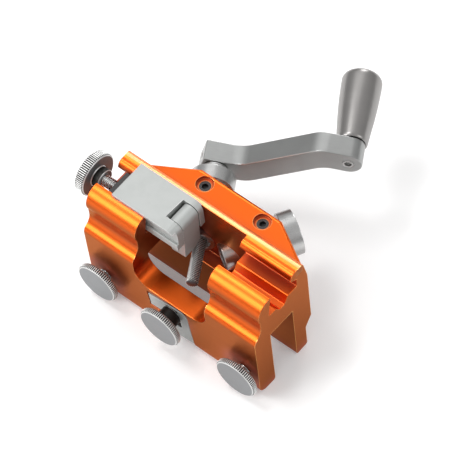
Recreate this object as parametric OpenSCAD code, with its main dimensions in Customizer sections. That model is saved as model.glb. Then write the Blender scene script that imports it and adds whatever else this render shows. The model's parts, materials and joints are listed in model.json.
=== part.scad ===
// Clamp-on chain sharpening jig: an extruded body that straddles a guide bar, two crossing guide
// bushings behind it, a hand crank with a burr cutter, and a pawl carriage in the top channel.
// X runs along the bar, Y to the crank side and Z up. The origin is the middle of the bar slot's roof.

/* [Body] */
// Length of the extruded body along the bar
body_len = 88.6; // [80:0.2:100]
// Width of the slot that takes the bar and its chain
slot_w = 13.8; // [12:0.2:15]
// Depth of the bar slot, from its roof to the feet
leg_h = 34.3; // [32:0.1:40]
// Front face of the front wall, from the middle of the slot
front_y = 16.2; // [16:0.1:18]
// Outer face of the rear leg, from the middle of the slot
rear_leg_y = 13.5; // [11:0.1:15]
// Radii of the feet's corners, and of the front foot's outer corner
foot_r = [1, 4.2]; // [0.5:0.1:5]
// Height of the front crest above the slot's roof
crest_z = 25.1; // [24.5:0.1:25.2]
// Radius of the crest's round front
crest_r = 7.2; // [6:0.1:8]
// How far the crest's round front stands behind the front face
crest_in = 3.8; // [3:0.1:4.2]
// Depth of the groove between the crest and the lower bead
groove_in = 4.5; // [4.3:0.1:5]
// Radius of the lower bead
bead_r = 4; // [2:0.1:6]
// Height of the lower bead's middle
bead_z = 2.7; // [0:0.1:4]

/* [Top channel] */
// Front lip of the channel, from the middle of the slot
lip_front_y = 4.4; // [4.2:0.1:5]
// Nose of the rear lip
lip_rear_y = 7.75; // [7.5:0.05:9]
// Underside of the rear lip's nose
lip_under_z = 21; // [20.5:0.1:21.5]
// Top of the rear lip
lip_top_z = 24.2; // [23.5:0.1:24.8]
// Rear face of the rear lip
lip_back_y = 15.6; // [15:0.1:16.5]
// Radii over the rear lip's nose and its rear edge
lip_r = [2.8, 1.6]; // [1:0.1:3]
// Floor of the undercuts that the carriage runs on
shelf_z = 13.7; // [13.2:0.1:14]
// Floor of the middle trough
trough_z = 10.4; // [6:0.1:11]
// Front and rear ends of the undercuts
undercut_y = [-6.1, 10.9]; // [-7:0.1:12]

/* [Guide boss and bushings] */
// Angle of each guide from square across the bar
guide_angle = 30; // [28:1:32]
// Depth of the cutter's axis under the slot's roof
axis_drop = 1.7; // [1.4:0.1:3]
// Top and bottom of the rear boss
boss_z = [-16.8, 13.7]; // [-20:0.1:16]
// Rear face of the boss
boss_y = 31; // [29:0.5:34]
// Distance of the boss's slanted faces along each guide
boss_reach = 37; // [36:0.5:39]
// Radii along the boss's upper edges, at the rear and on the slanted faces
boss_edge_r = [2.3, 2]; // [1:0.1:3]
// Outer diameter of a bushing's sleeve
bushing_d = 12; // [11:0.5:13]
// Diameter of a bushing's head
bushing_head_d = 19; // [16:0.5:20]
// Height of a bushing's head
bushing_head_h = 6.5; // [5:0.5:8]
// Inner end of a bushing along its axis
bushing_in = 11.4; // [11.2:0.1:14]
// Diameter of a bushing set screw
bushing_screw_d = 5; // [4:0.5:6]
// Depth and diameter of the counterbore over a set screw
bushing_counterbore = [1.7, 7.6]; // [1:0.1:9]
// Place of the set screws, from the middle of the slot
bushing_screw_y = 25.7; // [24:0.1:27]

/* [Window] */
// Width of the window cut through the front wall and the channel
window_w = 37; // [35:0.5:40]
// Lowest edge of the window, under the slot's roof
window_drop = 8.8; // [8:0.1:9]
// Corner radius of the window
window_r = 8; // [4:0.5:10]
// Rear end of the window
window_y = 12.6; // [11.5:0.1:13]

/* [Crank] */
// Diameter of the cutter shaft
shaft_d = 8; // [7:0.5:8.5]
// Diameter of the burr cutter
cutter_d = 5.2; // [4:0.1:5.4]
// Length of the fluted burr
cutter_len = 22; // [22:0.5:26]
// How far the burr's tip reaches past the middle of the bar
cutter_reach = 8; // [6:0.5:10]
// Number of flutes on the burr
flutes = 14; // [8:1:20]
// Depth of the burr's flutes
flute_depth = 0.35; // [0.2:0.05:0.6]
// Turn of the flutes along the burr
flute_twist = 480; // [60:10:600]
// Inner face of the arm along the guide, as it stands in the picture
arm_at = 47.3; // [46.8:0.1:52]
// Thickness of the arm along the shaft
arm_t = 9.6; // [8:0.1:12]
// Height of the arm across its run
arm_h = 11.4; // [10.5:0.1:14]
// Run of the arm from the shaft to the grip
arm_run = 52; // [48:0.5:60]
// Rise of the arm between its two level ends
arm_rise = 22.2; // [18:0.2:26]
// Length of the level stretch beside the shaft
arm_level = 11.5; // [10:0.5:14]
// Slope of the arm's middle stretch
arm_slope = 37; // [32:1:42]
// Radius of the arm's two bends
arm_bend_r = 12; // [6:0.5:16]
// Turn of the whole arm about the shaft
arm_turn = -10; // [-180:5:180]
// Distance of the slanted hub end from the shaft's axis
hub_end = 6.3; // [6.2:0.1:9]
// Slant of the hub end
hub_slant = 8; // [0:1:20]
// Diameter of the screw that holds the shaft in the arm
arm_screw_d = 3; // [2.5:0.5:4]

/* [Grip] */
// Length of the grip
grip_len = 33; // [28:1:45]
// Diameter of the grip beside the arm
grip_base_d = 12.8; // [12:0.1:15]
// Widest diameter of the grip
grip_d = 16.8; // [15:0.1:20]
// Diameter of the grip's pin
grip_pin_d = 5; // [4:0.5:6]
// Diameter of the pin where it is riveted into the arm
grip_rivet_d = 4.5; // [3:0.5:5]
// Diameter and height of the pin's head
grip_head = [9, 2.4]; // [2:0.1:10]
// Thickness of the washer between the arm and the bushing
washer_t = 0.8; // [0.6:0.1:1.5]
// Outer diameter of that washer
washer_d = 10.5; // [10:0.5:16]

/* [Pawl carriage] */
// Top of the carriage
carriage_top = 26.7; // [26.4:0.1:28]
// Front and rear edges of the carriage's top slab
slab_y = [-6, 12.2]; // [-7:0.1:13]
// Height of the carriage's lower flange
flange_h = 5.2; // [3:0.1:5.4]
// Diameter of the pawl's pin
pawl_pin_d = 3; // [2:0.5:4]
// Place of the pawl's pin along the bar and above the slot's roof
pawl_pin_at = [-6.6, 22.9]; // [-10:0.1:24]
// Radius of the pawl's knuckle
knuckle_r = 3.7; // [3.4:0.1:3.8]
// Front and rear sides of the pawl
pawl_y = [-0.6, 8.8]; // [-2:0.1:9]
// Lowest point of the pawl's toe
toe_z = 1.8; // [1.7:0.1:4]
// Bevel of the pawl's lower end at its rear side
toe_bevel = 3.4; // [3.2:0.1:5]
// Tip of the pawl's toe along the bar
pawl_left = -11.4; // [-11.5:0.1:-10.4]
// Right face of the pawl
pawl_right = -4; // [-5:0.1:-3]
// Height of the lower end of the pawl's right face
pawl_heel_z = 2.4; // [2.2:0.1:6]
// Left end of the carriage's wide head
head_left = -16.9; // [-17.1:0.1:-14]
// Rear side of the carriage's wide head
head_y = 11.6; // [11:0.1:12]
// Gap behind the knuckle, in the carriage's fork
fork_gap = 0.6; // [0.4:0.1:2]

/* [Adjuster] */
// Axis of the adjuster across the bar and above the slot's roof
adjuster_at = [1.7, 16.9]; // [1:0.1:18]
// Diameter of the adjuster's stud
adjuster_stud_d = 5; // [4:0.5:5]
// Gap between the body's end and the adjuster's wheel
adjuster_gap = 5.7; // [5.7:0.1:8.5]
// Length of the boss on the adjuster's wheel
adjuster_boss = 3.5; // [2:0.1:4]
// Thickness of the threaded plate in the channel
thread_plate_t = 2.8; // [2:0.1:3.2]
// Top of the threaded plate
thread_plate_top = 22.2; // [20.5:0.1:23]
// Distance of the thread plate from the body's left end
thread_plate_in = 5; // [4.6:0.1:6]
// Gap between the threaded plate and the carriage
thread_plate_gap = 1.4; // [1.3:0.1:2]
// Width and depth of the pocket for the stud's end
clip_pocket = [5, 9]; // [4:0.5:10]
// Thickness and diameter of the clip on the stud's end
clip_size = [1, 8]; // [0.8:0.1:9]

/* [Thumbscrews] */
// Diameter of every knurled wheel
wheel_d = 19.5; // [17:0.5:21]
// Thickness of the adjuster's wheel and of the three front wheels
wheel_t = [4.6, 2.9]; // [2.7:0.1:6]
// Number of knurls round a wheel
knurls = 68; // [30:2:72]
// Depth of the knurls
knurl_depth = 0.4; // [0.2:0.05:0.6]
// Diameter of the boss behind a wheel
boss_d = 9; // [8:0.5:9.5]
// Diameter of the clamp studs
clamp_d = 6; // [5:0.5:7]
// Place of the clamp studs from the body's ends
clamp_in = 7.8; // [6.5:0.1:11]
// Depth of the clamp studs under the slot's roof
clamp_drop = 22.3; // [20:0.1:24]
// Gap between a clamp wheel and the front face
clamp_gap = 3; // [1.3:0.1:4]
// Tip of the clamp studs, from the middle of the slot
clamp_tip_y = 3.2; // [3:0.1:5]

/* [Side plate] */
// Thickness of the slotted side plate
plate_t = 2.8; // [2:0.1:4]
// Lean of the plate and its pocket
plate_tilt = 6; // [0:1:10]
// Depth of the plate's screw under the slot's roof
plate_drop = 16.4; // [16:0.1:17]
// Diameter of the plate's screw
plate_screw_d = 5; // [4:0.5:5.5]
// Left and right edges of the plate from its screw
plate_x = [-12.3, 7.9]; // [-13:0.1:9]
// Top and bottom edges of the plate from its screw
plate_z = [-15.5, 4.4]; // [-16:0.1:5]
// Lower edge of the plate's left wing
wing_z = -3.2; // [-4:0.1:-1]
// Left edge of the plate's leg
leg_x = -5.5; // [-7:0.1:-4]
// Bevel of the plate's upper corner
plate_bevel = 2; // [1:0.1:3.5]
// Width of the plate's slot
plate_slot_w = 5.9; // [5.8:0.1:7]
// Lower end of the plate's slot
plate_slot_z = -8; // [-11:0.5:-5]
// Room for the plate to slide up
plate_travel = 1.2; // [0.8:0.1:1.5]
// Length of the boss on the plate's wheel
plate_boss = 5.9; // [3:0.1:7]

/* [Fits] */
// Clearance round a turning or sliding shaft
running = 0.04; // [0.02:0.01:0.08]
// Clearance round a fixed bushing in its seat
seat_gap = 0.02; // [0:0.01:0.04]
// Gap between pieces that slide past each other
slide_gap = 0.3; // [0.25:0.05:0.4]

/* [Hidden] */
$fn = 96;
orange = "#e8751a";
silver = "#c4c6c6";
steel = "#9a9d9e";
dark = "#2c2d2f";
cut = 60;
bead_turn = 125;
groove_r = groove_in / (1 + cos(bead_turn)) - bead_r;
groove_y = -front_y + groove_in;
bead_end = [-front_y + bead_r * (1 + cos(bead_turn)), bead_z + bead_r * sin(bead_turn)];
groove_mid = bead_end + groove_r * [cos(bead_turn), sin(bead_turn)];
crest_mid = [-front_y + crest_in + crest_r, crest_z - crest_r];
crest_start = 180 + acos(min(1, (crest_mid[0] - groove_y) / crest_r));
trough_y = [0, 3];
trough_slope = 2.2;
lip_slope = 3.1;
lip_nose_r = min(lip_r[0], lip_top_z - lip_under_z - 0.1);
lip_back_turn = 10;
lip_front_edge = 0.6;
shelf_wall = 2;
crest_end = 88;
rear_wall_y = 17.3;
rear_step = 5;
boss_start = 2;
pocket_depth = plate_t + 0.2;
pocket_room = 0.4;
window_z = [-window_drop, crest_z + 10];
shaft_start = cutter_len - cutter_reach;
shaft_hole = arm_t - 1.6;
washer_at = arm_at - slide_gap - washer_t;
grip_at = arm_at + arm_t + slide_gap;
flange_side = 0.7;
clip_wall = 4;
flange_z = [shelf_z + slide_gap, shelf_z + slide_gap + flange_h];
flange_y = [undercut_y[0] + flange_side + slide_gap, undercut_y[1] - slide_gap];
neck_y = [-lip_front_y + slide_gap, lip_rear_y - slide_gap];
slab_under = crest_z + slide_gap;
fork_x = pawl_pin_at[0] - knuckle_r - fork_gap;
ear_end = pawl_pin_at[0] + knuckle_r;
thread_plate_x = thread_plate_in - body_len / 2;
carriage_left = thread_plate_x + thread_plate_t + thread_plate_gap;
clip_pocket_x = carriage_left + clip_wall;
stud_end = clip_pocket_x + clip_pocket[0] - slide_gap;
clip_x = clip_pocket_x + slide_gap;
wheel_seat = [3, 2];
wheel_rim = wheel_d / 2 + 0.3;
wheel_ease = 1;
lip_room = 1.5;
toe_w = 0.7;
screw_sink = 0.3;
socket_share = 0.58;
socket_depth = 2;
arm_socket_depth = 1;
rivet_socket = [0.75, 1.6];
pin_sink = 0.5;
grip_edge = 0.4;
grip_round = 3;
boss_sink = 0.5;
stud_point = [1, 1.4];
clip_groove = 1;
plate_bridge = 0.8;
clamp_x = body_len / 2 - clamp_in;
adjuster_wheel_x = -body_len / 2 - adjuster_gap;
clamp_face = front_y + clamp_gap;
plate_front = front_y - pocket_depth + plate_t;
plate_wheel_y = plate_front + slide_gap + plate_boss;
plate_at = [0, -plate_drop];

// Points on an arc from angle a to angle b
function arc(mid, r, a, b, n = 12) =
    [for (i = [0:n]) let (t = a + (b - a) * i / n) mid + r * [cos(t), sin(t)]];

// A wheel's knurled outline
function knurl(r) =
    [for (i = [0:2 * knurls - 1]) let (t = 180 * i / knurls) (r - (i % 2) * knurl_depth) * [cos(t), sin(t)]];

// Extrudes a (Y, Z) outline along X from x0 to x1
module along_x(x0, x1) translate([x0, 0, 0]) rotate([90, 0, 90]) linear_extrude(x1 - x0) children();

// Extrudes an (X, Z) outline along Y from y0 to y1
module along_y(y0, y1) translate([0, y1, 0]) rotate([90, 0, 0]) linear_extrude(y1 - y0) children();

// Puts Z along a guide axis, with X level: side is -1 for the left guide and 1 for the right one
module on_guide(side) translate([0, 0, -axis_drop]) rotate([0, 0, -side * guide_angle]) rotate([-90, 0, 0])
    mirror([0, 1, 0]) children();

// A ring or rod along Z from z0 to z1
module rod(d, z0, z1) translate([0, 0, z0]) cylinder(d = d, h = z1 - z0);

// The body's (Y, Z) section without the slanted boss
module body_section() polygon(concat(
    [[-slot_w / 2, 0]],
    arc([-slot_w / 2 - foot_r[0], foot_r[0] - leg_h], foot_r[0], 0, -90, 4),
    arc([-front_y + foot_r[1], foot_r[1] - leg_h], foot_r[1], 270, 180, 8),
    arc([-front_y + bead_r, bead_z], bead_r, 180, bead_turn),
    arc(groove_mid, groove_r, bead_turn + 180, 360),
    arc(crest_mid, crest_r, crest_start, crest_end, 20),
    [[-lip_front_y, crest_z - lip_front_edge], [undercut_y[0], shelf_z + shelf_wall], [undercut_y[0], shelf_z]],
    [[trough_y[0] - trough_slope, shelf_z], [trough_y[0], trough_z], [trough_y[1], trough_z]],
    [[trough_y[1] + trough_slope, shelf_z], [undercut_y[1], shelf_z]],
    [[undercut_y[1], lip_under_z - lip_slope], [lip_rear_y, lip_under_z]],
    arc([lip_rear_y + lip_nose_r, lip_top_z - lip_nose_r], lip_nose_r, 180, 90, 8),
    arc([lip_back_y - lip_r[1], lip_top_z - lip_r[1]], lip_r[1], 90, lip_back_turn, 6),
    [[rear_wall_y, boss_z[1]], [rear_wall_y, boss_z[0]], [rear_leg_y, boss_z[0] - rear_step]],
    arc([rear_leg_y - foot_r[0], foot_r[0] - leg_h], foot_r[0], 0, -90, 4),
    arc([slot_w / 2 + foot_r[0], foot_r[0] - leg_h], foot_r[0], 270, 180, 4),
    [[slot_w / 2, 0]]));

// A boss profile that ends at reach, with its upper edge rounded
module boss_profile(reach, r, n) polygon(concat(
    [[-cut, boss_z[1]], [-cut, boss_z[0]], [reach, boss_z[0]]],
    arc([reach - r, boss_z[1] - r], r, 0, 90, n)));

// The rear boss, cut square to each guide
module guide_boss() intersection() {
    along_x(-body_len / 2, body_len / 2) boss_profile(boss_y, boss_edge_r[0], 8);
    intersection_for (side = [-1, 1]) rotate([0, 0, -side * guide_angle])
        along_x(-2 * cut, 2 * cut) boss_profile(boss_reach, boss_edge_r[1], 7);
    translate([-body_len / 2, slot_w / 2 + boss_start, -cut]) cube([body_len, cut, 2 * cut]);
}

// Window outline in (X, Z)
module window_outline() {
    corner = [window_w / 2 - window_r, window_z[0] + window_r];
    polygon(concat(
        [[window_w / 2, window_z[1]], [-window_w / 2, window_z[1]]],
        arc([-corner[0], corner[1]], window_r, 180, 270),
        arc(corner, window_r, 270, 360)));
}

// Side plate outline from its screw, grown by room and lengthened at the top and the foot
module plate_outline(room = 0, up = 0, down = 0) polygon([
    [plate_x[0] - room, wing_z - room], [plate_x[0] - room, plate_z[1] + room + up],
    [plate_x[1] + room - plate_bevel, plate_z[1] + room + up],
    [plate_x[1] + room, plate_z[1] + room + up - plate_bevel],
    [plate_x[1] + room, plate_z[0] - room - down], [leg_x - room, plate_z[0] - room - down],
    [leg_x - room, wing_z - room]]);

// Puts an (X, Z) outline on the side plate's screw, leaning as the plate does
module on_plate() translate(plate_at) rotate(plate_tilt) children();

module body() color(orange) difference() {
    union() {
        along_x(-body_len / 2, body_len / 2) body_section();
        guide_boss();
    }
    along_y(-cut, window_y) window_outline();
    along_y(-cut, -front_y + pocket_depth) on_plate() plate_outline(pocket_room, plate_travel, cut);
    for (side = [-1, 1]) {
        on_guide(side) rod(bushing_d + 2 * seat_gap, 0, cut);
        translate([side * bushing_screw_y * tan(guide_angle), bushing_screw_y, 0]) {
            rod(bushing_screw_d, -axis_drop, cut);
            rod(bushing_counterbore[1], boss_z[1] - bushing_counterbore[0], cut);
        }
        translate([side * clamp_x, 0, -clamp_drop]) rotate([90, 0, 0]) rod(clamp_d + 2 * running, 0, cut);
    }
    translate([plate_at[0], 0, plate_at[1]]) rotate([90, 0, 0]) rod(plate_screw_d + 2 * running, 0, cut);
}

// A headed guide bushing on its guide axis
module bushing(side) color(steel) on_guide(side) difference() {
    union() {
        rod(bushing_d, bushing_in, boss_reach);
        rod(bushing_head_d, boss_reach, boss_reach + bushing_head_h);
    }
    rod(shaft_d + 2 * running, bushing_in - 1, boss_reach + bushing_head_h + 1);
}
module left_bushing() bushing(-1);
module right_bushing() bushing(1);

module bushing_set_screws() color(dark) for (side = [-1, 1])
    translate([side * bushing_screw_y * tan(guide_angle), bushing_screw_y, 0]) difference() {
        rod(bushing_screw_d, bushing_d / 2 - axis_drop, boss_z[1] - bushing_counterbore[0]);
        translate([0, 0, boss_z[1] - bushing_counterbore[0] - socket_depth])
            cylinder(d = bushing_screw_d * socket_share, h = cut, $fn = 6);
    }

// The channel's section from z0 to z1, as far as the lips leave room
module channel_slider(z1) {
    translate([flange_y[0], shelf_z]) square([flange_y[1] - flange_y[0], flange_h - lip_room]);
    translate([neck_y[0], shelf_z]) square([neck_y[1] - neck_y[0], z1 - shelf_z]);
}

// The adjuster's axis, with Z along X
module on_adjuster() translate([0, adjuster_at[0], adjuster_at[1]]) rotate([0, 90, 0]) children();

module thread_plate() color(dark) difference() {
    along_x(thread_plate_x, thread_plate_x + thread_plate_t) channel_slider(thread_plate_top);
    on_adjuster() rod(adjuster_stud_d + 2 * running, -cut, cut);
}

module thrust_washer() color(silver) on_guide(-1) difference() {
    rod(washer_d, washer_at, washer_at + washer_t);
    rod(shaft_d + 2 * running, 0, 2 * cut);
}

module cutter_shaft() color(steel) on_guide(-1) rod(shaft_d, shaft_start, arm_at + shaft_hole);

module carbide_cutter() color("#7d7f82") on_guide(-1) translate([0, 0, -cutter_reach])
    linear_extrude(cutter_len, twist = flute_twist, slices = ceil(flute_twist / 10), $fn = 2 * flutes)
        polygon([for (i = [0:2 * flutes - 1]) let (t = 180 * i / flutes)
            (cutter_d / 2 - (i % 2) * flute_depth) * [cos(t), sin(t)]]);

// The arm's own plane: X along its level ends, Y across them and Z along the shaft
module on_arm() on_guide(-1) rotate([0, 0, arm_turn]) children();

// The arm's outline with both bends, a slanted hub end and a round far end
module arm_outline() {
    half = arm_h / 2;
    slope_run = arm_rise / tan(arm_slope);
    shift = half * tan(arm_slope / 2);
    slant = half * tan(hub_slant);
    r = arm_bend_r;
    ease = r * tan(arm_slope / 2);
    high = arm_level + slope_run;
    polygon(concat(
        [[-hub_end + slant, half]],
        arc([arm_level - shift - ease, half + r], r, -90, arm_slope - 90),
        arc([high - shift + ease, arm_rise + half - r], r, arm_slope + 90, 90),
        arc([arm_run, arm_rise], half, 90, -90, 24),
        arc([high + shift + ease, arm_rise - half - r], r, 90, arm_slope + 90),
        arc([arm_level + shift - ease, r - half], r, arm_slope - 90, -90),
        [[-hub_end - slant, -half]]));
}

// The arm's holding screw, square to the slanted hub end
module on_arm_screw() translate([0, 0, arm_t / 2]) rotate([0, 0, 180]) rotate([0, 90, 0]) children();

module crank_arm() color(silver) on_arm() translate([0, 0, arm_at]) difference() {
    linear_extrude(arm_t) arm_outline();
    rod(shaft_d, -1, shaft_hole);
    translate([arm_run, arm_rise, 0]) rod(grip_rivet_d, -1, arm_t + 1);
    on_arm_screw() rod(arm_screw_d, 0, cut);
}

module arm_set_screw() color(dark) on_arm() translate([0, 0, arm_at]) on_arm_screw() difference() {
    rod(arm_screw_d, shaft_d / 2, hub_end - screw_sink);
    translate([0, 0, hub_end - screw_sink - arm_socket_depth])
        cylinder(d = arm_screw_d * socket_share, h = cut, $fn = 6);
}

// The grip's axis, with Z along it from the arm's inner face
module on_grip() on_arm() translate([arm_run, arm_rise, 0]) children();

module grip_pin() color(steel) on_grip() difference() {
    union() {
        rod(grip_rivet_d, arm_at, arm_at + arm_t);
        rod(grip_pin_d, arm_at + arm_t, grip_at + grip_len - grip_head[1]);
        rod(grip_head[0], grip_at + grip_len - grip_head[1], grip_at + grip_len);
    }
    translate([0, 0, arm_at + rivet_socket[1] - cut])
        cylinder(d = grip_rivet_d * rivet_socket[0], h = cut, $fn = 6);
}

// The grip's side from its base, out to its widest place and in to a round end
module grip() color(silver) on_grip() translate([0, 0, grip_at]) difference() {
    rotate_extrude() polygon(concat(
        [[0, 0], [grip_base_d / 2 - grip_edge, 0]],
        [for (i = [0:10]) let (t = i / 10) [grip_base_d / 2 + (grip_d - grip_base_d) / 2 * sin(90 * t),
            grip_edge + t * (grip_len - grip_edge - grip_round)]],
        arc([grip_d / 2 - grip_round, grip_len - grip_round], grip_round, 0, 90, 6),
        [[0, grip_len]]));
    rod(grip_pin_d + 2 * running, -1, grip_len);
    rod(grip_head[0] + 2 * slide_gap, grip_len - grip_head[1] - slide_gap, grip_len + 1);
}

// The carriage's section: slab over both lips, neck between them and flange under the rear one
module carriage_section() {
    translate([slab_y[0], slab_under]) square([slab_y[1] - slab_y[0], carriage_top - slab_under]);
    translate([neck_y[0], flange_z[0]]) square([neck_y[1] - neck_y[0], carriage_top - flange_z[0]]);
    translate([flange_y[0], flange_z[0]]) square([flange_y[1] - flange_y[0], flange_h - lip_room]);
}

module pawl_carriage() color(silver) difference() {
    intersection() {
        union() {
            along_x(carriage_left, ear_end) carriage_section();
            along_x(head_left, ear_end) translate([neck_y[0], flange_z[0]])
                square([head_y - neck_y[0], carriage_top - flange_z[0]]);
        }
        along_y(-cut, cut) {
            translate([carriage_left, 0]) square([pawl_pin_at[0] - carriage_left, cut]);
            translate(pawl_pin_at) circle(ear_end - pawl_pin_at[0]);
            translate([pawl_pin_at[0], 0]) square([ear_end - pawl_pin_at[0], pawl_pin_at[1]]);
        }
    }
    translate([fork_x, pawl_y[0] - slide_gap, 0]) cube([cut, pawl_y[1] - pawl_y[0] + 2 * slide_gap, cut]);
    along_y(-cut, cut) translate(pawl_pin_at) circle(d = pawl_pin_d);
    on_adjuster() rod(adjuster_stud_d + 2 * running, -cut, clip_pocket_x + clip_pocket[0]);
    translate([clip_pocket_x, adjuster_at[0] - clip_pocket[1] / 2, 0])
        cube([clip_pocket[0], clip_pocket[1], adjuster_at[1] + clip_size[1] / 2 + slide_gap]);
}

module pawl_pin() color(steel) along_y(neck_y[0] + pin_sink, head_y)
    translate(pawl_pin_at) circle(d = pawl_pin_d);

// The pawl's (X, Z) outline: a round knuckle, a straight right face and a narrow toe
module pawl_outline() {
    translate(pawl_pin_at) circle(knuckle_r);
    polygon(concat(
        [[pawl_pin_at[0] - knuckle_r, pawl_pin_at[1]], [fork_x + slide_gap, flange_z[0]], [pawl_left, toe_z]],
        [for (i = [1:8]) let (t = i / 8) [pawl_left + toe_w + (pawl_right - pawl_left - toe_w) * t,
            toe_z + (pawl_heel_z - toe_z) * sin(90 * t)]],
        [[pawl_pin_at[0] + knuckle_r, pawl_pin_at[1]]]));
}

module pawl() color(silver) difference() {
    along_y(pawl_y[0], pawl_y[1]) pawl_outline();
    along_x(-cut, cut) translate([pawl_y[1] - toe_bevel, toe_z])
        polygon([[0, 0], [cut, cut], [cut, -cut], [0, -cut]]);
    along_y(-cut, cut) translate(pawl_pin_at) circle(d = pawl_pin_d + 2 * running);
}

module adjuster_stud() color(steel) on_adjuster() difference() {
    rod(adjuster_stud_d, adjuster_wheel_x - wheel_seat[0], stud_end);
    difference() {
        rod(adjuster_stud_d + 1, clip_x, clip_x + clip_size[0]);
        rod(adjuster_stud_d - clip_groove, -cut, cut);
    }
}

module adjuster_clip() color(dark) on_adjuster() difference() {
    rod(clip_size[1], clip_x, clip_x + clip_size[0]);
    rod(adjuster_stud_d - clip_groove, -cut, cut);
}

// A knurled wheel from z 0 to its boss's end, with its edges eased and a bore for its stud
module wheel(t, boss, bore, seat) difference() {
    union() {
        intersection() {
            linear_extrude(t) polygon(knurl(wheel_d / 2));
            rotate_extrude() polygon([[0, 0], [wheel_rim - wheel_ease, 0], [wheel_rim, wheel_ease],
                [wheel_rim, t - wheel_ease], [wheel_rim - wheel_ease, t], [0, t]]);
        }
        rod(boss_d, t - boss_sink, t + boss);
    }
    rod(bore, t - seat, t + boss + 1);
}

module adjuster_knob() color(silver) on_adjuster() translate([0, 0, adjuster_wheel_x - wheel_t[0]])
    wheel(wheel_t[0], adjuster_boss, adjuster_stud_d, wheel_seat[0]);

// A stud along Y from its tip to inside its wheel, with a flat point
module screw_stud(d, tip, wheel_y) rotate([90, 0, 0]) {
    rod(d, tip + stud_point[0], wheel_y + wheel_seat[1]);
    rod(d - stud_point[1], tip, tip + stud_point[0]);
}

// A wheel on a stud along Y, its boss towards the body
module screw_wheel(x, z, wheel_y, boss, d) translate([x, -wheel_y - wheel_t[1], z]) rotate([-90, 0, 0])
    wheel(wheel_t[1], boss, d + 2 * running, wheel_seat[1] + slide_gap);

module clamp_stud(side) color(steel) translate([side * clamp_x, 0, -clamp_drop])
    screw_stud(clamp_d, clamp_tip_y, clamp_face);
module clamp_knob(side) color(silver) screw_wheel(side * clamp_x, -clamp_drop, clamp_face, 0, clamp_d);
module left_clamp_stud() clamp_stud(-1);
module left_clamp_knob() clamp_knob(-1);
module right_clamp_stud() clamp_stud(1);
module right_clamp_knob() clamp_knob(1);

module side_plate() color(silver) along_y(-plate_front, -plate_front + plate_t) on_plate() difference() {
    plate_outline();
    translate([-plate_slot_w / 2, plate_slot_z])
        square([plate_slot_w, plate_z[1] - plate_bridge - plate_slot_z]);
}

module plate_stud() color(steel) translate([plate_at[0], 0, plate_at[1]])
    screw_stud(plate_screw_d, slot_w / 2 + 0.5, plate_wheel_y);

module plate_knob() color(silver)
    screw_wheel(plate_at[0], plate_at[1], plate_wheel_y, plate_boss, plate_screw_d);

body();
left_bushing();
right_bushing();
bushing_set_screws();
thread_plate();
thrust_washer();
cutter_shaft();
carbide_cutter();
crank_arm();
arm_set_screw();
grip_pin();
grip();
pawl_carriage();
pawl_pin();
pawl();
adjuster_stud();
adjuster_clip();
adjuster_knob();
left_clamp_stud();
left_clamp_knob();
right_clamp_stud();
right_clamp_knob();
side_plate();
plate_stud();
plate_knob();
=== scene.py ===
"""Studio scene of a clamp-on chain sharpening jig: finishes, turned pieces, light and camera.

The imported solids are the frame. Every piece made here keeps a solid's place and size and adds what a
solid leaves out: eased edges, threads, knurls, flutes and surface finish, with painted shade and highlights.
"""

import json
import logging
import math
from dataclasses import dataclass
from enum import Enum
from typing import Any, Callable, Mapping, Sequence

import bmesh
import bpy
from mathutils import Matrix, Vector

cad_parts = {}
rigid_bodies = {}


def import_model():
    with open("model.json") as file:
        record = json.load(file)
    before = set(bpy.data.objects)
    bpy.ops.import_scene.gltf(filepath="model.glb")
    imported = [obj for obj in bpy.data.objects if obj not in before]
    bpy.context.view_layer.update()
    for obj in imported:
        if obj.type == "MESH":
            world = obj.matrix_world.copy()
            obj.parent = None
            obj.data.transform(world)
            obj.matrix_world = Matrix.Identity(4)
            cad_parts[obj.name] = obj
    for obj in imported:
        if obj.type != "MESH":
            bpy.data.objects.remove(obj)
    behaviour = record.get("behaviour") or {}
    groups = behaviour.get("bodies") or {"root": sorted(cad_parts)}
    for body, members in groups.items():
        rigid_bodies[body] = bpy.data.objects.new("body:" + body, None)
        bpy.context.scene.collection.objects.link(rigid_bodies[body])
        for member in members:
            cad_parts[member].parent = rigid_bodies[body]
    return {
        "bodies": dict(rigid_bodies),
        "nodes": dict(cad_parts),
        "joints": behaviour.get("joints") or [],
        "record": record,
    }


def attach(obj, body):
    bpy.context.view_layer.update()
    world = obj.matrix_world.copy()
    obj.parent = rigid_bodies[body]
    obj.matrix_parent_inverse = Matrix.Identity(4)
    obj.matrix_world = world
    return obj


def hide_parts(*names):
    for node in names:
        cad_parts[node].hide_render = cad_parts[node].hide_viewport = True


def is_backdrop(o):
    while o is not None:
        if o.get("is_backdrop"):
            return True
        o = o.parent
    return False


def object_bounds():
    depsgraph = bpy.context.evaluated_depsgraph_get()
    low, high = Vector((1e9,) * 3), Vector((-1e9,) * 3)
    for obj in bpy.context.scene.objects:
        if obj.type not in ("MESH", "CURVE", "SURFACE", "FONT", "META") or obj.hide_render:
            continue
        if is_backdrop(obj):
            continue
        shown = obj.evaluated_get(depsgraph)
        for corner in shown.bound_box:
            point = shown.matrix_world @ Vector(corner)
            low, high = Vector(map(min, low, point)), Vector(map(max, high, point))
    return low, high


log = logging.getLogger("jig")
MM = 0.001
ALONG_BAR = (1, 0, 0)
UPWARD = (0, 0, 1)
QUARTER = math.pi / 2
Colour = tuple[float, float, float]
Span = tuple[float, float]
Outline = list[tuple[float, float]]
Ripple = Callable[[float, float, float], float]


class Op(Enum):
    """The arithmetic a socket takes."""

    ADD = "ADD"
    SUBTRACT = "SUBTRACT"
    MULTIPLY = "MULTIPLY"
    POWER = "POWER"


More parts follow.
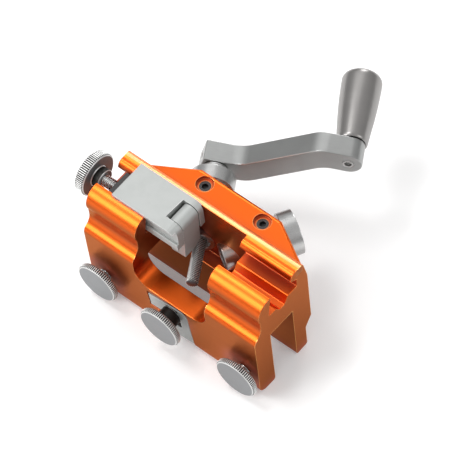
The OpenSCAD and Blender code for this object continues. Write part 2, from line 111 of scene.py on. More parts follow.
class Sock:
    """A shader socket that takes Python arithmetic."""

    def __init__(self, graph: "Graph", socket: bpy.types.NodeSocket | None) -> None:
        """Wraps one output socket of a graph."""
        self.graph = graph
        self.socket = socket

    def _math(self, operation: Op, first: Any, second: Any) -> "Sock":
        """Adds one Math node and gives its result."""
        return self.graph.node("ShaderNodeMath", {"operation": operation.value}, {0: first, 1: second})

    def __add__(self, other: Any) -> "Sock":
        """Sum."""
        return self._math(Op.ADD, self, other)

    def __radd__(self, other: Any) -> "Sock":
        """Sum with a number on the left."""
        return self._math(Op.ADD, other, self)

    def __sub__(self, other: Any) -> "Sock":
        """Difference."""
        return self._math(Op.SUBTRACT, self, other)

    def __rsub__(self, other: Any) -> "Sock":
        """Difference from a number on the left."""
        return self._math(Op.SUBTRACT, other, self)

    def __mul__(self, other: Any) -> "Sock":
        """Product."""
        return self._math(Op.MULTIPLY, self, other)

    def __rmul__(self, other: Any) -> "Sock":
        """Product with a number on the left."""
        return self._math(Op.MULTIPLY, other, self)

    def __pow__(self, other: Any) -> "Sock":
        """Power."""
        return self._math(Op.POWER, self, other)

    def ramp(self, low: float, high: float) -> "Sock":
        """Smooth step, from 0 at the low value to 1 at the high one."""
        return self.graph.node("ShaderNodeMapRange", {"interpolation_type": "SMOOTHSTEP"},
                               {0: self, 1: low, 2: high})

    def about(self, middle: float, swing: float = 0.2) -> "Sock":
        """This noise, from 0 to 1, as a value that swings about a middle."""
        return middle + (self - 0.5) * swing


class Graph:
    """The node tree of a material or a world, with one method that adds any node."""

    # The sockets of a Mix node that mixes colours, by index.
    MIX_FACTOR = 0
    MIX_LOW = 6
    MIX_HIGH = 7
    MIX_COLOUR = 2
    # How finely the masks of edges and hollows are sampled, and the values between which they fade.
    EDGE_SAMPLES = 6
    EDGE_SPAN = (0.01, 0.12)
    OPEN_SAMPLES = 8
    OPEN_SPAN = (0.35, 0.95)

    def __init__(self, owner: bpy.types.Material | bpy.types.World) -> None:
        """Takes over the tree of a material or a world and empties it."""
        self.owner = owner
        owner.use_nodes = True
        self.tree = owner.node_tree
        self.tree.nodes.clear()

    def node(self, kind: str, settings: Mapping[str, Any] | None = None,
             inputs: Mapping[int | str, Any] | None = None, out: int | str = 0) -> Sock:
        """Adds a node.

        Args:
            kind: the node's type.
            settings: its properties, set first.
            inputs: values or links for its sockets, by index or name.
            out: the output to return.
        Returns:
            That output.
        """
        made = self.tree.nodes.new(kind)
        for key, value in (settings or {}).items():
            setattr(made, key, value)
        for key, value in (inputs or {}).items():
            if isinstance(value, Sock):
                self.tree.links.new(value.socket, made.inputs[key])
            else:
                made.inputs[key].default_value = value
        return Sock(self, made.outputs[out] if made.outputs else None)

    def place(self) -> Sock:
        """Position on the piece, in metres."""
        return self.node("ShaderNodeTexCoord", out="Object")

    def normal(self) -> Sock:
        """The surface's own normal, before any bump."""
        return self.node("ShaderNodeNewGeometry", out="Normal")

    def stretched(self, scale: Sequence[float], vector: Sock | None = None) -> Sock:
        """A position, or the piece's own place, with each axis scaled."""
        return self.node("ShaderNodeMapping", None, {"Vector": vector or self.place(), "Scale": scale})

    def noise(self, cell: float, detail: float = 2.0, vector: Sock | None = None) -> Sock:
        """Noise from 0 to 1 with cells of a size in metres, at a position or the piece's own place."""
        return self.node("ShaderNodeTexNoise", None,
                         {"Vector": vector or self.place(), "Scale": 1 / cell, "Detail": detail})

    def mix(self, factor: Any, low: Any, high: Any) -> Sock:
        """Mixes two colours: low where the factor is 0, high where it is 1."""
        inputs = {self.MIX_FACTOR: factor, self.MIX_LOW: rgba(low), self.MIX_HIGH: rgba(high)}
        return self.node("ShaderNodeMix", {"data_type": "RGBA"}, inputs, self.MIX_COLOUR)

    def dot(self, first: Any, second: Any) -> Sock:
        """Dot product of two vectors, a single value."""
        settings = {"operation": "DOT_PRODUCT"}
        return self.node("ShaderNodeVectorMath", settings, {0: first, 1: second}, "Value")

    def edges(self, radius: float) -> Sock:
        """Mask of the edges, for handling marks and a painted highlight: 1 on a sharp edge, 0 on a flat face
        beyond the radius.
        """
        rounded = self.node("ShaderNodeBevel", {"samples": self.EDGE_SAMPLES}, {"Radius": radius})
        return (1 - self.dot(rounded, self.normal())).ramp(*self.EDGE_SPAN)

    def painted_hollow_shade(self, reach: float) -> Sock:
        """Mask of the hollows, for painted shade where little light comes.

        Args:
            reach: how far other faces count, in metres.
        Returns:
            1 far inside a recess and 0 in the open.
        """
        settings = {"samples": self.OPEN_SAMPLES}
        open_share = self.node("ShaderNodeAmbientOcclusion", settings, {"Distance": reach}, "AO")
        return 1 - open_share.ramp(*self.OPEN_SPAN)

    def split(self, vector: Sock) -> tuple[Sock, Sock, Sock]:
        """The X, Y and Z of a vector."""
        return tuple(self.node("ShaderNodeSeparateXYZ", None, {0: vector}, i) for i in range(3))

    def round_z(self) -> tuple[Sock, Sock]:
        """Distance from the piece's own Z axis, and height along it."""
        place = self.place()
        flat = self.node("ShaderNodeVectorMath", {"operation": "MULTIPLY"}, {0: place, 1: (1, 1, 0)})
        radius = self.node("ShaderNodeVectorMath", {"operation": "LENGTH"}, {0: flat}, "Value")
        return radius, self.split(place)[2]

    def rings(self, cell: float) -> Sock:
        """Noise from 0 to 1 in rings about the piece's own Z axis, of a width in metres."""
        radius, height = self.round_z()
        return self.noise(cell, vector=self.node("ShaderNodeCombineXYZ", None, {0: radius, 1: height}))

    def facing(self, direction: Sequence[float]) -> Sock:
        """Cosine between the face's normal and a direction of the row frame."""
        return self.dot(self.normal(), direction)

    def bump(self, height: Sock, strength: float, depth: float, under: Sock | None = None) -> Sock:
        """Normal from a height.

        Args:
            height: the height, as a share of depth.
            strength: share of the effect.
            depth: the height's size, in metres.
            under: a bumped normal that this one adds to.
        Returns:
            The bumped normal.
        """
        inputs = {"Strength": strength, "Distance": depth, "Height": height}
        return self.node("ShaderNodeBump", None, inputs | ({"Normal": under} if under else {}))

    def surface(self, inputs: Mapping[str, Any]) -> bpy.types.Material:
        """Closes a material's tree with a principled surface.

        Args:
            inputs: the surface's sockets.
        Returns:
            The finished material.
        """
        shader = self.node("ShaderNodeBsdfPrincipled", None, inputs)
        self.node("ShaderNodeOutputMaterial", None, {"Surface": shader})
        return self.owner


def rgba(colour: Any) -> Any:
    """A colour with alpha, or the link it already is."""
    return colour if isinstance(colour, Sock) else (*colour, 1.0)


@dataclass(frozen=True)
class Lip:
    """The rear lip of the body's channel: where it lies, how it bows and where a pale stripe is painted on
    it as a highlight.

    Front, top, back and highlight_from are places across the bar, and under is a height just below the lip.
    """

    front: float = 7.5 * MM
    top: float = 10.0 * MM
    back: float = 15.4 * MM
    under: float = 20 * MM
    fade: float = 0.2 * MM
    bow: float = 0.05
    highlight_from: float = 12.4 * MM
    highlight_fade: float = MM
    highlight_level: Span = (0.5, 0.9)

    def masks(self, g: Graph) -> tuple[Sock, Sock]:
        """Makes the pale stripe, a painted highlight, and the bow.

        Args:
            g: the material's graph.
        Returns:
            The stripe's mask, and the bow's height in millimetres, which ends at 0 at the back.
        """
        _, across, above = g.split(g.place())
        on_lip = (across.ramp(self.front, self.front + self.fade)
                  * above.ramp(self.under, self.under + self.fade))
        # Painted highlight: a pale stripe on the lip's top, towards its back.
        stripe = (on_lip * across.ramp(self.highlight_from, self.highlight_from + self.highlight_fade)
                  * g.facing(UPWARD).ramp(*self.highlight_level))
        from_top = (across.ramp(self.front, self.back) * ((self.back - self.front) / MM)
                    - (self.top - self.front) / MM)
        bowed = (((self.back - self.top) / MM) ** 2 - from_top ** 2) * self.bow
        return stripe, on_lip * bowed


@dataclass(frozen=True)
class AnodisedFinish:
    """Satin orange anodising on an extrusion, with painted shade on its end faces, on faces that don't face
    up and in its hollows; pale edges from handling and a painted highlight; and a pale painted highlight
    stripe on its lip.
    """

    bright: Colour = (0.82, 0.130, 0.016)
    # Painted shade: the colour of end faces and of faces that don't face up.
    shaded_dye: Colour = (0.33, 0.078, 0.026)
    # Painted shade: the colour in hollows.
    hollow_shade: Colour = (0.43, 0.068, 0.034)
    sheen: Colour = (1.0, 0.75, 0.55)
    # Pale edges: partly handling, partly a painted highlight.
    edge: Colour = (1.0, 0.56, 0.22)
    # Painted highlight: the pale stripe on the lip's top.
    pale_highlight: Colour = (0.95, 0.30, 0.13)
    lip: Lip = Lip()
    edge_reach: float = 0.45 * MM
    edge_least: float = 0.45
    edge_cloud: float = 0.5
    hollow_shade_reach: float = 9 * MM
    hollow_shade_share: float = 0.9
    hollow_dull: float = 0.5
    boss_rear: float = 31 * MM
    boss_ease: float = 1.8 * MM
    boss_bow: float = 0.4
    end_shade_span: Span = (0.5, 0.95)
    end_shade_share: float = 0.15
    side_shade_span: Span = (0.35, 0.95)
    side_shade_share: float = 0.95
    cloud_cell: float = 14 * MM
    cloud_share: float = 0.14
    line_cell: float = 0.35 * MM
    line_length: float = 60.0
    line_detail: float = 3
    line_share: float = 0.75
    grain_cell: float = 0.12 * MM
    metal: float = 0.97
    rough: float = 0.24
    rough_lines: float = 0.12
    rough_grain: float = 0.05
    relief: float = 0.02 * MM
    relief_share: float = 0.10

    def build(self) -> bpy.types.Material:
        """Makes the material."""
        g = Graph(bpy.data.materials.new("orange_anodised"))
        lines = g.noise(self.line_cell, self.line_detail, g.stretched((1 / self.line_length, 1, 1)))
        grain = g.noise(self.grain_cell)
        cloud = g.noise(self.cloud_cell)
        painted_hollow_shade = g.painted_hollow_shade(self.hollow_shade_reach)
        stripe, bowed = self.lip.masks(g)
        # Painted shade: the colour darkens in hollows.
        base = g.mix(painted_hollow_shade * self.hollow_shade_share, self._dye_and_shade(g, cloud), self.hollow_shade)
        # Painted highlight: the lip's pale stripe.
        crest = g.mix(stripe, base, self.pale_highlight)
        # Pale edges: partly handling, partly a painted highlight.
        wear_and_highlight = g.edges(self.edge_reach) * (self.edge_least + self.edge_cloud * cloud)
        across = g.split(g.place())[1]
        rear = across.ramp(self.boss_rear - self.boss_ease, self.boss_rear) * self.boss_bow
        formed = g.bump(bowed - rear, 1.0, MM)
        texture = lines * self.line_share + grain * (1 - self.line_share)
        return g.surface({"Base Color": g.mix(wear_and_highlight, crest, self.edge),
                          "Metallic": self.metal - painted_hollow_shade * self.hollow_dull,
                          "Roughness": self.rough + lines * self.rough_lines + grain * self.rough_grain,
                          "Specular Tint": rgba(self.sheen),
                          "Normal": g.bump(texture, self.relief_share, self.relief, formed)})

    def _dye_and_shade(self, g: Graph, cloud: Sock) -> Sock:
        """The dye's colour on open faces.

        Args:
            g: the material's graph.
            cloud: a coarse noise that varies the colour.
        Returns:
            The colour, with painted shade: darker on end faces and on faces that don't face up.
        """
        # Painted shade: end faces and faces that don't face up are darker.
        end_shade = (g.facing(ALONG_BAR) ** 2).ramp(*self.end_shade_span)
        side_shade = (1 - g.facing(UPWARD)).ramp(*self.side_shade_span)
        depth = (end_shade * self.end_shade_share + side_shade * self.side_shade_share
                 + cloud * self.cloud_share - self.cloud_share / 2)
        return g.mix(depth, self.bright, self.shaded_dye)


@dataclass(frozen=True, kw_only=True)
class BareMetal:
    """What the bare metals share: two tones, pale edges from handling and a painted highlight, and a
    roughness and relief from one fine noise.
    """

    name: str
    tone: Colour
    shade: Colour
    edge: Colour
    edge_reach: float
    edge_share: float
    metal: float = 1.0
    rough: float
    relief: float = 0.02 * MM
    relief_share: float

    def close(self, g: Graph, base: Sock, fine: Sock) -> bpy.types.Material:
        """Pales the edges, from handling and a painted highlight, and closes the material.

        Args:
            g: the material's graph.
            base: the colour of its faces.
            fine: the fine noise.
        Returns:
            The finished material.
        """
        # Pale edges: partly handling, partly a painted highlight.
        worn_and_lit = g.mix(g.edges(self.edge_reach) * self.edge_share, base, self.edge)
        return g.surface({"Base Color": worn_and_lit, "Metallic": self.metal, "Roughness": fine.about(self.rough),
                          "Normal": g.bump(fine, self.relief_share, self.relief)})


@dataclass(frozen=True, kw_only=True)
class BlastedFinish(BareMetal):
    """Fine blasted aluminium with pale edges, slightly polished and partly a painted highlight."""

    edge: Colour = (0.88, 0.88, 0.87)
    edge_reach: float = 0.3 * MM
    edge_share: float = 0.7
    metal: float = 0.35
    rough: float = 0.48
    relief_share: float = 0.22
    grain_cell: float = 0.16 * MM
    grain_share: float = 0.5
    cloud_cell: float = 5 * MM
    cloud_span: Span = (0.3, 0.75)
    detail: float = 3

    def build(self) -> bpy.types.Material:
        """Makes the material."""
        g = Graph(bpy.data.materials.new(self.name))
        grain = g.noise(self.grain_cell, self.detail)
        cloud = g.noise(self.cloud_cell, self.detail).ramp(*self.cloud_span)
        shaded = cloud * (1 - self.grain_share) + grain * self.grain_share
        return self.close(g, g.mix(shaded, self.tone, self.shade), grain)


@dataclass(frozen=True, kw_only=True)
class BrushedFinish(BareMetal):
    """Aluminium brushed along one direction of the row frame, or turned about it."""

    along: tuple[float, float, float]
    stretch: tuple[float, float, float] = (0.03, 1, 1)
    edge: Colour = (0.86, 0.86, 0.85)
    edge_reach: float = 0.35 * MM
    edge_share: float = 0.6
    rough: float = 0.34
    relief_share: float = 0.16
    line_cell: float = 0.14 * MM
    line_detail: float = 3
    line_share: float = 0.55
    cloud_cell: float = 9 * MM

    def build(self) -> bpy.types.Material:
        """Makes the material."""
        g = Graph(bpy.data.materials.new(self.name))
        turn = Vector(self.along).to_track_quat("X", "Z").inverted().to_euler()
        turned = g.node("ShaderNodeMapping", {"vector_type": "TEXTURE"},
                        {"Vector": g.place(), "Rotation": tuple(-angle for angle in turn)})
        lines = g.noise(self.line_cell, self.line_detail, g.stretched(self.stretch, turned))
        lit = lines * self.line_share + g.noise(self.cloud_cell) * (1 - self.line_share)
        return self.close(g, g.mix(lit, self.shade, self.tone), lines)


@dataclass(frozen=True, kw_only=True)
class TurnedFinish(BareMetal):
    """Lathe-turned steel: fine rings about the piece's own Z axis."""

    edge: Colour = (0.9, 0.9, 0.89)
    edge_reach: float = 0.22 * MM
    edge_share: float = 0.75
    rough: float = 0.3
    relief: float = 0.015 * MM
    relief_share: float = 0.14
    ring_cell: float = 0.11 * MM
    ring_share: float = 0.5
    cloud_cell: float = 3 * MM
    cloud_detail: float = 3

    def build(self) -> bpy.types.Material:
        """Makes the material."""
        g = Graph(bpy.data.materials.new(self.name))
        rings = g.rings(self.ring_cell)
        cloud = g.noise(self.cloud_cell, self.cloud_detail)
        lit = rings * self.ring_share + cloud * (1 - self.ring_share)
        return self.close(g, g.mix(lit, self.shade, self.tone), rings)


@dataclass(frozen=True)
class KnurledFinish:
    """A thumb wheel's steel: matt turned faces, a chamfer ring painted pale as a highlight, and a
    straight-knurled rim with pale lands and grooves painted dark as shade.
    """

    tone: Colour = (0.29, 0.295, 0.305)
    shade: Colour = (0.25, 0.255, 0.26)
    land: Colour = (0.80, 0.80, 0.79)
    # Painted shade: the colour at the bottom of the knurl's grooves.
    groove_shade: Colour = (0.02, 0.018, 0.016)
    edge: Colour = (0.7, 0.7, 0.69)
    rim_r: float = 9.75 * MM
    rim_span: Span = (0.15, 0.5)
    groove: float = 0.4 * MM
    groove_shade_floor: float = 0.6
    groove_shade_top: float = 0.1
    bevel_level: float = 0.5
    bevel_span: Span = (0.01, 0.1)
    ring_cell: float = 0.12 * MM
    ring_share: float = 0.5
    cloud_cell: float = 3 * MM
    cloud_detail: float = 3
    metal: float = 0.7
    rough: float = 0.45
    relief: float = 0.015 * MM
    relief_share: float = 0.12

    def build(self) -> bpy.types.Material:
        """Makes the material."""
        g = Graph(bpy.data.materials.new("knurled_steel"))
        rings = g.rings(self.ring_cell)
        cloud = g.noise(self.cloud_cell, self.cloud_detail)
        lit = rings * self.ring_share + cloud * (1 - self.ring_share)
        face = g.mix(lit, self.shade, self.tone)
        upright = g.split(g.node("ShaderNodeTexCoord", out="Normal"))[2]
        level = upright * upright
        radius, _ = g.round_z()
        # Painted highlight and shade: the knurl's lands are pale and its grooves dark.
        floor = self.rim_r - self.groove_shade_floor * self.groove
        low = 1 - radius.ramp(floor, self.rim_r - self.groove_shade_top * self.groove)
        rim = g.mix(low, self.land, self.groove_shade)
        grooved = g.mix(1 - level.ramp(*self.rim_span), face, rim)
        # Painted highlight: the chamfer ring between face and rim is pale.
        off_bevel = ((level - self.bevel_level) ** 2).ramp(*self.bevel_span)
        return g.surface({"Base Color": g.mix(1 - off_bevel, grooved, self.edge), "Metallic": self.metal,
                          "Roughness": rings.about(self.rough),
                          "Normal": g.bump(rings, self.relief_share, self.relief)})


@dataclass(frozen=True)
class FlutedFinish:
    """A burr's ground carbide: pale lands, and flutes painted dark as shade."""

    land: Colour = (0.52, 0.52, 0.51)
    flute: Colour = (0.08, 0.08, 0.085)
    burr_r: float = 2.6 * MM
    depth: float = 0.42 * MM
    land_share: float = 0.15
    land_least: float = 0.85
    land_grain: float = 0.3
    grain_cell: float = 0.15 * MM
    metal: float = 0.7
    rough: float = 0.36
    rough_grain: float = 0.16

    def build(self) -> bpy.types.Material:
        """Makes the material."""
        g = Graph(bpy.data.materials.new("ground_carbide"))
        radius, _ = g.round_z()
        grain = g.noise(self.grain_cell)
        # Painted shade: the flutes' cuts are dark, the lands pale.
        raised = radius.ramp(self.burr_r - self.depth, self.burr_r - self.land_share * self.depth)
        base = g.mix(raised * (self.land_least + self.land_grain * grain), self.flute, self.land)
        return g.surface({"Base Color": base, "Metallic": self.metal,
                          "Roughness": self.rough + grain * self.rough_grain})


@dataclass(frozen=True)
class OxideFinish:
    """Black oxide on steel, grey at its edges from handling and a painted highlight."""

    tone: Colour = (0.045, 0.043, 0.043)
    pale_highlight: Colour = (0.40, 0.39, 0.38)
    edge_reach: float = 0.25 * MM
    edge_share: float = 0.6
    grain_cell: float = 0.25 * MM
    grain_detail: float = 3
    grain_share: float = 0.12
    metal: float = 0.8
    rough: float = 0.36
    rough_grain: float = 0.2
    relief: float = 0.02 * MM
    relief_share: float = 0.2

    def build(self) -> bpy.types.Material:
        """Makes the material."""
        g = Graph(bpy.data.materials.new("black_oxide"))
        grain = g.noise(self.grain_cell, self.grain_detail)
        # Pale edges: partly handling, partly a painted highlight.
        wear_and_highlight = g.edges(self.edge_reach) * self.edge_share + grain * self.grain_share
        return g.surface({"Base Color": g.mix(wear_and_highlight, self.tone, self.pale_highlight), "Metallic": self.metal,
                          "Roughness": self.rough + grain * self.rough_grain,
                          "Normal": g.bump(grain, self.relief_share, self.relief)})


class Finishes:
    """Every finish of the jig, made once."""

    def __init__(self) -> None:
        """Builds the materials."""
        self.orange = AnodisedFinish().build()
        self.satin = BlastedFinish(name="satin_aluminium", tone=(0.47, 0.485, 0.475),
                                   shade=(0.42, 0.435, 0.425)).build()
        self.crank = BrushedFinish(name="brushed_crank", tone=(0.44, 0.45, 0.44), shade=(0.29, 0.29, 0.29),
                                   along=(0.853, 0.492, -0.174)).build()
        self.grip = BrushedFinish(name="turned_grip", tone=(0.36, 0.35, 0.34), shade=(0.28, 0.27, 0.265),
                                  along=(-0.5, 0.866, 0), stretch=(1, 0.02, 0.02)).build()
        self.steel = TurnedFinish(name="turned_steel", tone=(0.60, 0.60, 0.59),
                                  shade=(0.42, 0.42, 0.42)).build()
        self.thread = TurnedFinish(name="bright_thread", tone=(0.80, 0.80, 0.79), shade=(0.66, 0.66, 0.66),
                                   rough=0.24).build()
        self.wheel = KnurledFinish().build()
        self.black = OxideFinish().build()
        self.carbide = FlutedFinish().build()


@dataclass(frozen=True)
class Axis:
    """A line with a start, for turned pieces."""

    start: Vector
    along: Vector

    @classmethod
    def of_joint(cls, frame: Mapping[str, Any], name: str) -> "Axis":
        """The axis of a named hinge of the frame."""
        joint = next(j for j in frame["joints"] if j["name"] == name)
        return cls(Vector(joint["pos_m"]), Vector(joint["axis"]).normalized())

    def moved(self, distance: float) -> "Axis":
        """The same line, started further along."""
        return Axis(self.start + self.along * distance, self.along)

    def matrix(self) -> Matrix:
        """A frame at the start, with Z along the line."""
        return Matrix.Translation(self.start) @ self.along.to_track_quat("Z", "Y").to_matrix().to_4x4()

    def span(self, node: bpy.types.Object) -> tuple[float, float, float]:
        """How a solid lies about the line.

        Args:
            node: the solid.
        Returns:
            Its lowest and highest place along the line, and its widest radius.
        """
        heights = []
        radii = []
        for vertex in node.data.vertices:
            offset = vertex.co - self.start
            height = offset.dot(self.along)
            heights.append(height)
            radii.append((offset - self.along * height).length)
        return min(heights), max(heights), max(radii)


class Maker:
    """Makes pieces and puts them on the frame's bodies. Its lengths are in metres, its angles in degrees."""

    WELD = 0.0005 * MM
    FLAT_ANGLE = 0.4
    SHARP_ANGLE = 24.0
    EASE_STEPS = 3
    ROUND_PROFILE = 0.5
    SLIM_SHARE = 0.7
    LONG_EDGE = 20 * MM
    SEAM_NEAR = 0.002 * MM
    SEAM_END = 0.001

    def __init__(self, frame: Mapping[str, Any]) -> None:
        """Keeps the frame, and each solid's body and material slot."""
        self.frame = frame
        bodies = frame["record"]["behaviour"]["bodies"]
        self.body_of = {node: body for body, nodes in bodies.items() for node in nodes}
        self.slot_of = {s["node"]: s["material_slot"] for s in frame["record"]["subparts"]}

    def settle(self, piece: bpy.types.Object, node: str, material: bpy.types.Material) -> None:
        """Puts a piece in a solid's place, on its body and with its finish, and hides the solid.

        Args:
            piece: the new piece.
            node: the solid it stands for.
            material: its finish.
        """
        piece.data.materials.clear()
        piece.data.materials.append(material)
        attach(piece, self.body_of[node])
        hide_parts(node)
        log.info("%s stands for %s: %d faces", piece.name, node, len(piece.data.polygons))

    def paint(self, node: str, material: bpy.types.Material) -> None:
        """Gives a solid its finish, as it is.

        Args:
            node: the solid.
            material: its finish.
        """
        solid = self.frame["nodes"][node]
        solid.data.materials.clear()
        solid.data.materials.append(material)
        log.info("%s keeps its solid", node)

    @staticmethod
    def link(name: str, work: bmesh.types.BMesh, sharp: float) -> bpy.types.Object:
        """Turns a mesh in the making into a linked object.

        Args:
            name: the piece's name.
            work: the mesh, which is freed.
            sharp: the angle from which an edge stays sharp, in degrees.
        Returns:
            The object.
        """
        mesh = bpy.data.meshes.new(name)
        bmesh.ops.recalc_face_normals(work, faces=work.faces)
        work.to_mesh(mesh)
        work.free()
        mesh.shade_smooth()
        mesh.set_sharp_from_angle(angle=math.radians(sharp))
        piece = bpy.data.objects.new(name, mesh)
        bpy.context.scene.collection.objects.link(piece)
        return piece

    def _seam(self, work: bmesh.types.BMesh) -> None:
        """Splits long edges at corners that lie on them, and welds what then meets.

        An edge meets the first corner along it. A further one splits the stretch before that, which
        leaves a spare corner there and the edge's line as it was.

        Args:
            work: the mesh.
        """
        for edge in [edge for edge in work.edges if edge.calc_length() > self.LONG_EDGE]:
            tail = edge.verts[0]
            start = tail.co.copy()
            along = edge.verts[1].co - start
            shares = [(vert.co - start).dot(along) / along.length_squared for vert in work.verts]
            on_edge = sorted(share for share, vert in zip(shares, work.verts)
                             if self.SEAM_END < share < 1 - self.SEAM_END
                             and (start + along * share - vert.co).length < self.SEAM_NEAR)
            stretch = edge
            done = 0.0
            for share in on_edge:
                if share - done > self.SEAM_END:
                    stretch, tail = bmesh.utils.edge_split(stretch, tail, (share - done) / (1 - done))
                    done = share
        bmesh.ops.remove_doubles(work, verts=work.verts, dist=2 * self.SEAM_NEAR)

    def _roomy(self, work: bmesh.types.BMesh, gap: float) -> list[bmesh.types.BMEdge]:
        """The sharp edges that have room to be eased.

        Args:
            work: the mesh.
            gap: the shortest edge that may meet an eased one, in metres. A face beside it has a least
                width too, a share of that.
        Returns:
            The edges.
        """
        tight = {vert for edge in work.edges if edge.calc_length() < gap for vert in edge.verts}
        slim = {edge for face in work.faces
                if 2 * face.calc_area() < self.SLIM_SHARE * gap * face.calc_perimeter()
                for edge in face.edges}
        return [edge for edge in work.edges if edge not in slim and tight.isdisjoint(edge.verts)
                and edge.calc_face_angle(0) > math.radians(self.SHARP_ANGLE)]

    def eased(self, node: str, ease: float, room: float) -> bpy.types.Object:
        """A copy of a solid with its sharp edges eased, where the edges and faces beside them leave room.

        Args:
            node: the solid.
            ease: width of the eased edges, in metres.
            room: the shortest edge that may meet an eased one, as a multiple of ease.
        Returns:
            The piece.
        """
        work = bmesh.new()
        work.from_mesh(self.frame["nodes"][node].data)
        bmesh.ops.remove_doubles(work, verts=work.verts, dist=self.WELD)
        bmesh.ops.dissolve_limit(work, angle_limit=math.radians(self.FLAT_ANGLE), verts=work.verts,
                                 edges=work.edges)
        self._seam(work)
        bmesh.ops.bevel(work, geom=self._roomy(work, room * ease), offset=ease, segments=self.EASE_STEPS,
                        profile=self.ROUND_PROFILE, affect="EDGES", clamp_overlap=False, miter_outer="ARC")
        piece = self.link(node + "_eased", work, self.SHARP_ANGLE)
        even = piece.modifiers.new("even", "WEIGHTED_NORMAL")
        even.keep_sharp = True
        graph = bpy.context.evaluated_depsgraph_get()
        baked = bpy.data.meshes.new_from_object(piece.evaluated_get(graph))
        piece.modifiers.clear()
        piece.data = baked
        return piece


@dataclass
class Turned:
    """A turned solid: an outline of (radius, height) round Z, with an optional ripple on its radius.

    An edge stays sharp from the angle sharp, in degrees.
    """

    outline: Outline
    sharp: float
    columns: int = 96
    ripple: Ripple | None = None

    def build(self, name: str, axis: Axis) -> bpy.types.Object:
        """Makes the piece on an axis.

        Args:
            name: the piece's name.
            axis: where its height starts and which way it runs.
        Returns:
            The piece.
        """
        work = bmesh.new()
        rows = [self._row(work, radius, height) for radius, height in self.outline]
        for low, high in zip(rows, rows[1:]):
            self._join(work, low, high)
        piece = Maker.link(name, work, self.sharp)
        piece.matrix_world = axis.matrix()
        return piece

    def _row(self, work: bmesh.types.BMesh, radius: float, height: float) -> list[bmesh.types.BMVert]:
        """One ring of points, or a single point on the axis.

        Args:
            work: the mesh in the making.
            radius: the ring's radius, 0 for a single point.
            height: its height.
        Returns:
            The ring's points.
        """
        if radius <= 0:
            return [work.verts.new((0, 0, height))]
        ring = []
        for i in range(self.columns):
            turn = math.tau * i / self.columns
            reach = radius + (self.ripple(turn, height, radius) if self.ripple else 0)
            ring.append(work.verts.new((reach * math.cos(turn), reach * math.sin(turn), height)))
        return ring

    def _join(self, work: bmesh.types.BMesh, low: list[bmesh.types.BMVert],
              high: list[bmesh.types.BMVert]) -> None:
        """Fills the strip between two rings.

        Args:
            work: the mesh in the making.
            low: the points of the first ring.
            high: the points of the next one.
        """
        for i in range(self.columns):
            j = (i + 1) % self.columns
            if len(low) == 1:
                work.faces.new((low[0], high[j], high[i]))
            elif len(high) == 1:
                work.faces.new((low[i], low[j], high[0]))
            else:
                work.faces.new((low[i], low[j], high[j], high[i]))


def saw(place: float, share: float) -> float:
    """A V groove that repeats once a unit.

    Args:
        place: the place along the row of grooves.
        share: the groove's share of one unit.
    Returns:
        1 at a groove's bottom and 0 on the land between grooves.
    """
    away = abs((place % 1.0) - 0.5)
    return max(0.0, 1 - away / (share / 2))


@dataclass
class Wheel:
    """A straight-knurled thumb wheel, with a boss towards the jig where its solid has one."""

    thick: float
    seat: float
    bore_r: float
    knurls: int = 68
    points_a_knurl: int = 8
    groove: float = 0.4 * MM
    groove_share: float = 0.62
    groove_steep: float = 2.2
    chamfer: float = 0.7 * MM
    rim_steps: int = 3
    face_dish: float = 0.06 * MM
    face_edge: float = 0.02 * MM
    dish_share: float = 0.3
    dish_end: float = 0.2 * MM
    flat_end: float = 0.05 * MM
    boss_r: float = 4.5 * MM
    boss_least: float = 0.1 * MM
    boss_bevel: float = 0.3 * MM
    sharp: float = 30.0

    def outline(self, radius: float, depth: float) -> Outline:
        """The wheel's outline from the middle of its face to the bottom of its bore.

        Args:
            radius: the wheel's radius.
            depth: length of the wheel and its boss.
        Returns:
            Points of (radius, height).
        """
        back = self.thick
        chamfer = self.chamfer
        groove = self.groove
        bevel = self.boss_bevel
        face_r = radius - chamfer
        points = [(0, self.face_dish), (radius * self.dish_share, self.face_dish),
                  (face_r - self.dish_end, self.face_edge), (face_r - self.flat_end, self.face_edge),
                  (radius - groove, chamfer - groove), (radius - groove / 2, chamfer - groove / 2)]
        rim = back - 2 * chamfer
        points += [(radius, chamfer + rim * i / self.rim_steps) for i in range(self.rim_steps + 1)]
        points += [(radius - groove / 2, back - chamfer + groove / 2),
                   (radius - groove, back - chamfer + groove), (face_r, back)]
        if depth > back + self.boss_least:
            points += [(self.boss_r + bevel, back), (self.boss_r, back + bevel),
                       (self.boss_r, depth - bevel), (self.boss_r - bevel, depth)]
        floor = back - self.seat
        return points + [(self.bore_r, max(depth, back)), (self.bore_r, floor), (0, floor)]

    def build(self, maker: Maker, node: str, joint: str, material: bpy.types.Material) -> None:
        """Makes one wheel on its joint's axis.

        Args:
            maker: the piece maker.
            node: the wheel's solid.
            joint: the hinge it turns on.
            material: its finish.
        """
        axis = Axis.of_joint(maker.frame, joint)
        low, high, radius = axis.span(maker.frame["nodes"][node])

        def knurl(turn: float, height: float, reach: float) -> float:
            """The knurl's groove at one place of the rim, the same at every height."""
            above_floor = max(0.0, reach - (radius - self.groove))
            cut = self.groove_steep * saw(turn / math.tau * self.knurls, self.groove_share)
            return -above_floor * min(1.0, cut)

        columns = self.knurls * self.points_a_knurl
        shape = Turned(self.outline(radius, high - low), self.sharp, columns, knurl)
        maker.settle(shape.build(node + "_turned", axis.moved(low)), node, material)


